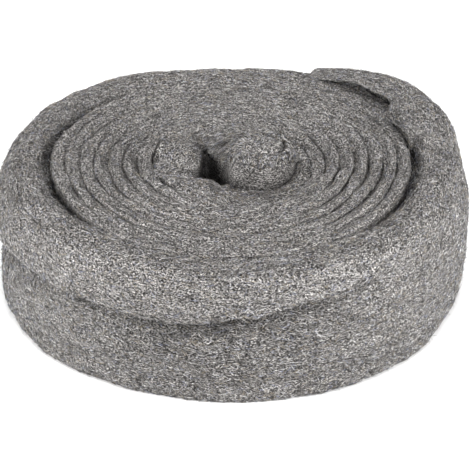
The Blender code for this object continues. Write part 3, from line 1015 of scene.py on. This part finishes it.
# %% Its colour and relief
def felted_steel():
    """A mat of crossing strands with painted shade in the gaps between them, combed along the
    winding into locks, and with the painted depth shade multiplied in: darker the deeper it lies
    and under the crease's overhang. The relief follows the same mat."""
    material, tree, shader = new_material("felted_carbon_steel", 0.55)
    place = add(tree, "ShaderNodeUVMap", uv_map="winding").outputs["UV"]
    mat = crossing_streaks(tree, place)
    colour = add(tree, "ShaderNodeValToRGB", [("Fac", mat)], FELT_GREYS_AND_GAP_SHADE)
    lock = streaks(tree, place, LOCK_LENGTH, LOCK_WIDTH, 0.0, 1.0, 0.5)
    combed = add(tree, "ShaderNodeMapRange", [("Value", lock)], **LOCK_SHADES).outputs["Result"]
    # Painted shade: darker deep in the grooves and the hole, and a painted shadow under the crease.
    depth = add(tree, "ShaderNodeAttribute", attribute_name="painted_depth_shade").outputs["Fac"]
    shade = add(tree, "ShaderNodeMath", [(0, depth), (1, combed)], operation="MULTIPLY").outputs["Value"]
    shaded = add(tree, "ShaderNodeVectorMath", [(0, colour.outputs["Color"]), (1, shade)],
                 operation="MULTIPLY")
    tree.links.new(shaded.outputs["Vector"], shader.inputs["Base Color"])
    bump = add(tree, "ShaderNodeBump", [("Height", mat)], Strength=0.9, Distance=0.0008)
    tree.links.new(bump.outputs["Normal"], shader.inputs["Normal"])
    return material


strand_material = strand_steel()
felt_material = felted_steel()
ribbon = placed(ribbon_mesh, felt_material)
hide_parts("wound_ribbon")
print("finishes:", strand_material.name, "and", felt_material.name)

# %% [markdown]
# ## Strands where they show
# Each part of the roll's surface gets its own lot: the turns' edges, the core, the bun, the
# loose length's top and side, the underside, and the single hairs that stand off everywhere.
# One lot over the whole grid would spend most strands inside the roll, so each has a weight
# that says where on the grid it lies.

# %% Weights on the close turns
CORE_UNTIL = (380.0, 420.0)
TURN_STRANDS_ABOVE = 0.05
CORE_STRANDS_ABOVE = 0.03
BUN_STRANDS = (-330.0, 40.0)
BUN_SPARED = 0.6
UNDER = 0.004
SPUR_FROM = (40.0, 60.0)
SPUR_TO = (100.0, 110.0)
SPUR_ABOVE = (0.070, 0.085)

close_core = 1.0 - smoothstep(close_angle, *CORE_UNTIL) + 0.0 * close_t
turns_weight = close_seen * (1.0 - close_core) * (close_height > TURN_STRANDS_ABOVE)
on_bun = (close_angle < BUN_STRANDS[1]) * (close_t > INNER_HALF) * (close_t < 4.0)
core_weight = close_seen * close_core * close_painted_shade * (close_height > CORE_STRANDS_ABOVE)
core_weight = core_weight * (1.0 - BUN_SPARED * on_bun)
bun_weight = close_seen * on_bun * (close_angle > BUN_STRANDS[0])
under_close = (close_height < UNDER) * 1.0
spur = smoothstep(close_angle, *SPUR_FROM) * (1.0 - smoothstep(close_angle, *SPUR_TO))
beside_hole = (close_t < INNER_HALF) * spur * smoothstep(close_height, *SPUR_ABOVE)
print(f"the core's strands lie on {100 * (core_weight > 0).mean():.0f}% of the grid")

# %% Weights on the loose length
WRAP_TOP_FROM = (0.066, 0.070)
SIDE_STRANDS_ABOVE = 0.001
HAIRS_ABOVE = 0.002

high = smoothstep(loose_height, *WRAP_TOP_FROM)
wrap_top_weight = loose_seen * high
wrap_side_weight = loose_seen * (1.0 - high) * (loose_height > SIDE_STRANDS_ABOVE)
under_loose = (loose_height < UNDER) * 1.0
print(f"strands on {100 * (loose_seen > 0).mean():.0f}% of the loose length")

# %% How each kind lies, in metres and degrees
LYING = dict(length=0.0036, thickness=0.00033, curl=150.0, lift=(0.0, 0.0005), loose_end=0.0003, turn=0.0)
ON_TURNS = dict(LYING, spread=24.0, across=0.16)
ON_CORE = dict(LYING, spread=45.0, across=0.45)
OVER_BUN = dict(LYING, turn=90.0, spread=24.0, across=0.1)
STANDING = dict(LYING, length=0.0060, thickness=0.00024, loose_end=0.0016, spread=45.0, across=0.3)
CROSSING = dict(STANDING, length=0.0080, lift=(0.0, 0.0020), loose_end=0.0030, across=0.8)

# %% The lots
FIRST_SEED = 100
LOTS = (
    ("strands_on_turns", close_grid, turns_weight, 30000, ON_TURNS),
    ("strands_on_core", close_grid, core_weight, 9000, ON_CORE),
    ("strands_over_bun", close_grid, bun_weight, 2400, OVER_BUN),
    ("strands_on_wrap_top", loose_grid, wrap_top_weight, 30000, ON_TURNS),
    ("strands_on_wrap_side", loose_grid, wrap_side_weight, 30000, ON_TURNS),
    ("strands_under_turns", close_grid, under_close, 3000, ON_TURNS),
    ("strands_under_wrap", loose_grid, under_loose, 2400, ON_TURNS),
    ("hairs_on_turns", close_grid, turns_weight + core_weight, 8000, STANDING),
    ("hairs_on_wrap", loose_grid, loose_seen * (loose_height > HAIRS_ABOVE), 20000, STANDING),
    ("hairs_beside_hole", close_grid, beside_hole, 900, CROSSING),
)
for number, (name, grid, weight, count, how) in enumerate(LOTS):
    rng = np.random.default_rng(FIRST_SEED + number)
    place, along, out = pick_places(grid, weight, count, rng)
    placed(spindles(name, place, along, out, rng, **how), strand_material)

# %% [markdown]
# ## Floor, light and camera
# The photograph is a plain studio one: a white ground, soft light low from both sides and
# above, and a long lens about 29 degrees above the table. Large area lights stand in for the
# soft boxes, because a metal shows the size of what it reflects.

# %% A pale floor
FLOOR_REACH = 4.0

floor_material, _, floor_shader = new_material("pale_floor", 0.9, metallic=0.0)
floor_shader.inputs["Base Color"].default_value = linear("#ffffff")
corners = np.array([(-1, -1, 0), (1, -1, 0), (1, 1, 0), (-1, 1, 0)], float) * FLOOR_REACH
floor_mesh = bpy.data.meshes.new("floor")
floor_mesh.from_pydata(corners.tolist(), [], [(0, 1, 2, 3)])
floor_mesh.materials.append(floor_material)
floor = bpy.data.objects.new("floor", floor_mesh)
bpy.context.scene.collection.objects.link(floor)
print("floor,", 2.0 * FLOOR_REACH, "m wide")

# %% Soft boxes: azimuth, elevation, distance, size, power
SOFT_BOXES = (
    ("left_box", 205.0, 24.0, 1.6, 0.6, 28.0),
    ("right_box", 337.0, 24.0, 1.6, 0.6, 31.0),
    ("front_box", 270.0, 68.0, 1.6, 0.5, 13.0),
    ("back_box", 90.0, 50.0, 1.7, 0.8, 9.0),
)


def soft_box(name, azimuth, elevation, distance, size, power):
    """An area light that looks at the roll from this direction, in degrees."""
    light = bpy.data.lights.new(name, "AREA")
    light.shape, light.size, light.energy = "SQUARE", size, power
    obj = bpy.data.objects.new(name, light)
    turned, raised = math.radians(azimuth), math.radians(elevation)
    obj.location = (
        distance * math.cos(raised) * math.cos(turned),
        distance * math.cos(raised) * math.sin(turned),
        distance * math.sin(raised),
    )
    obj.rotation_euler = (math.pi / 2.0 - raised, 0.0, turned + math.pi / 2.0)
    bpy.context.scene.collection.objects.link(obj)


for box in SOFT_BOXES:
    soft_box(*box)
print(len(SOFT_BOXES), "soft boxes,", sum(box[-1] for box in SOFT_BOXES), "W in all")

# %% The white room
ROOM_LIGHT = 0.22

world = bpy.data.worlds.new("white_studio")
world.use_nodes = True
background = world.node_tree.nodes["Background"]
background.inputs["Color"].default_value = linear("#ffffff")
background.inputs["Strength"].default_value = ROOM_LIGHT
bpy.context.scene.world = world
bpy.context.scene.view_settings.view_transform = "Standard"

# %% The camera
IMAGE = 470
FOCAL_PIXELS = 1631
SENSOR_WIDTH = 36.0
CAMERA_HEIGHT_ANGLE = 29.2
CAMERA_DISTANCE = 1.12
LOOK_HEIGHT = 0.045
SHIFT_PIXELS = (3, -16)

camera = bpy.data.cameras.new("camera")
camera.sensor_width = SENSOR_WIDTH
camera.lens = FOCAL_PIXELS / IMAGE * camera.sensor_width
camera.shift_x, camera.shift_y = [pixels / IMAGE for pixels in SHIFT_PIXELS]
eye = bpy.data.objects.new("camera", camera)
raised = math.radians(CAMERA_HEIGHT_ANGLE)
away, up = CAMERA_DISTANCE * math.cos(raised), CAMERA_DISTANCE * math.sin(raised)
eye.location = (0.0, -away, LOOK_HEIGHT + up)
eye.rotation_euler = (math.pi / 2.0 - raised, 0.0, 0.0)
bpy.context.scene.collection.objects.link(eye)
bpy.context.scene.camera = eye
print(f"a {camera.lens:.0f} mm lens, {CAMERA_DISTANCE} m away")
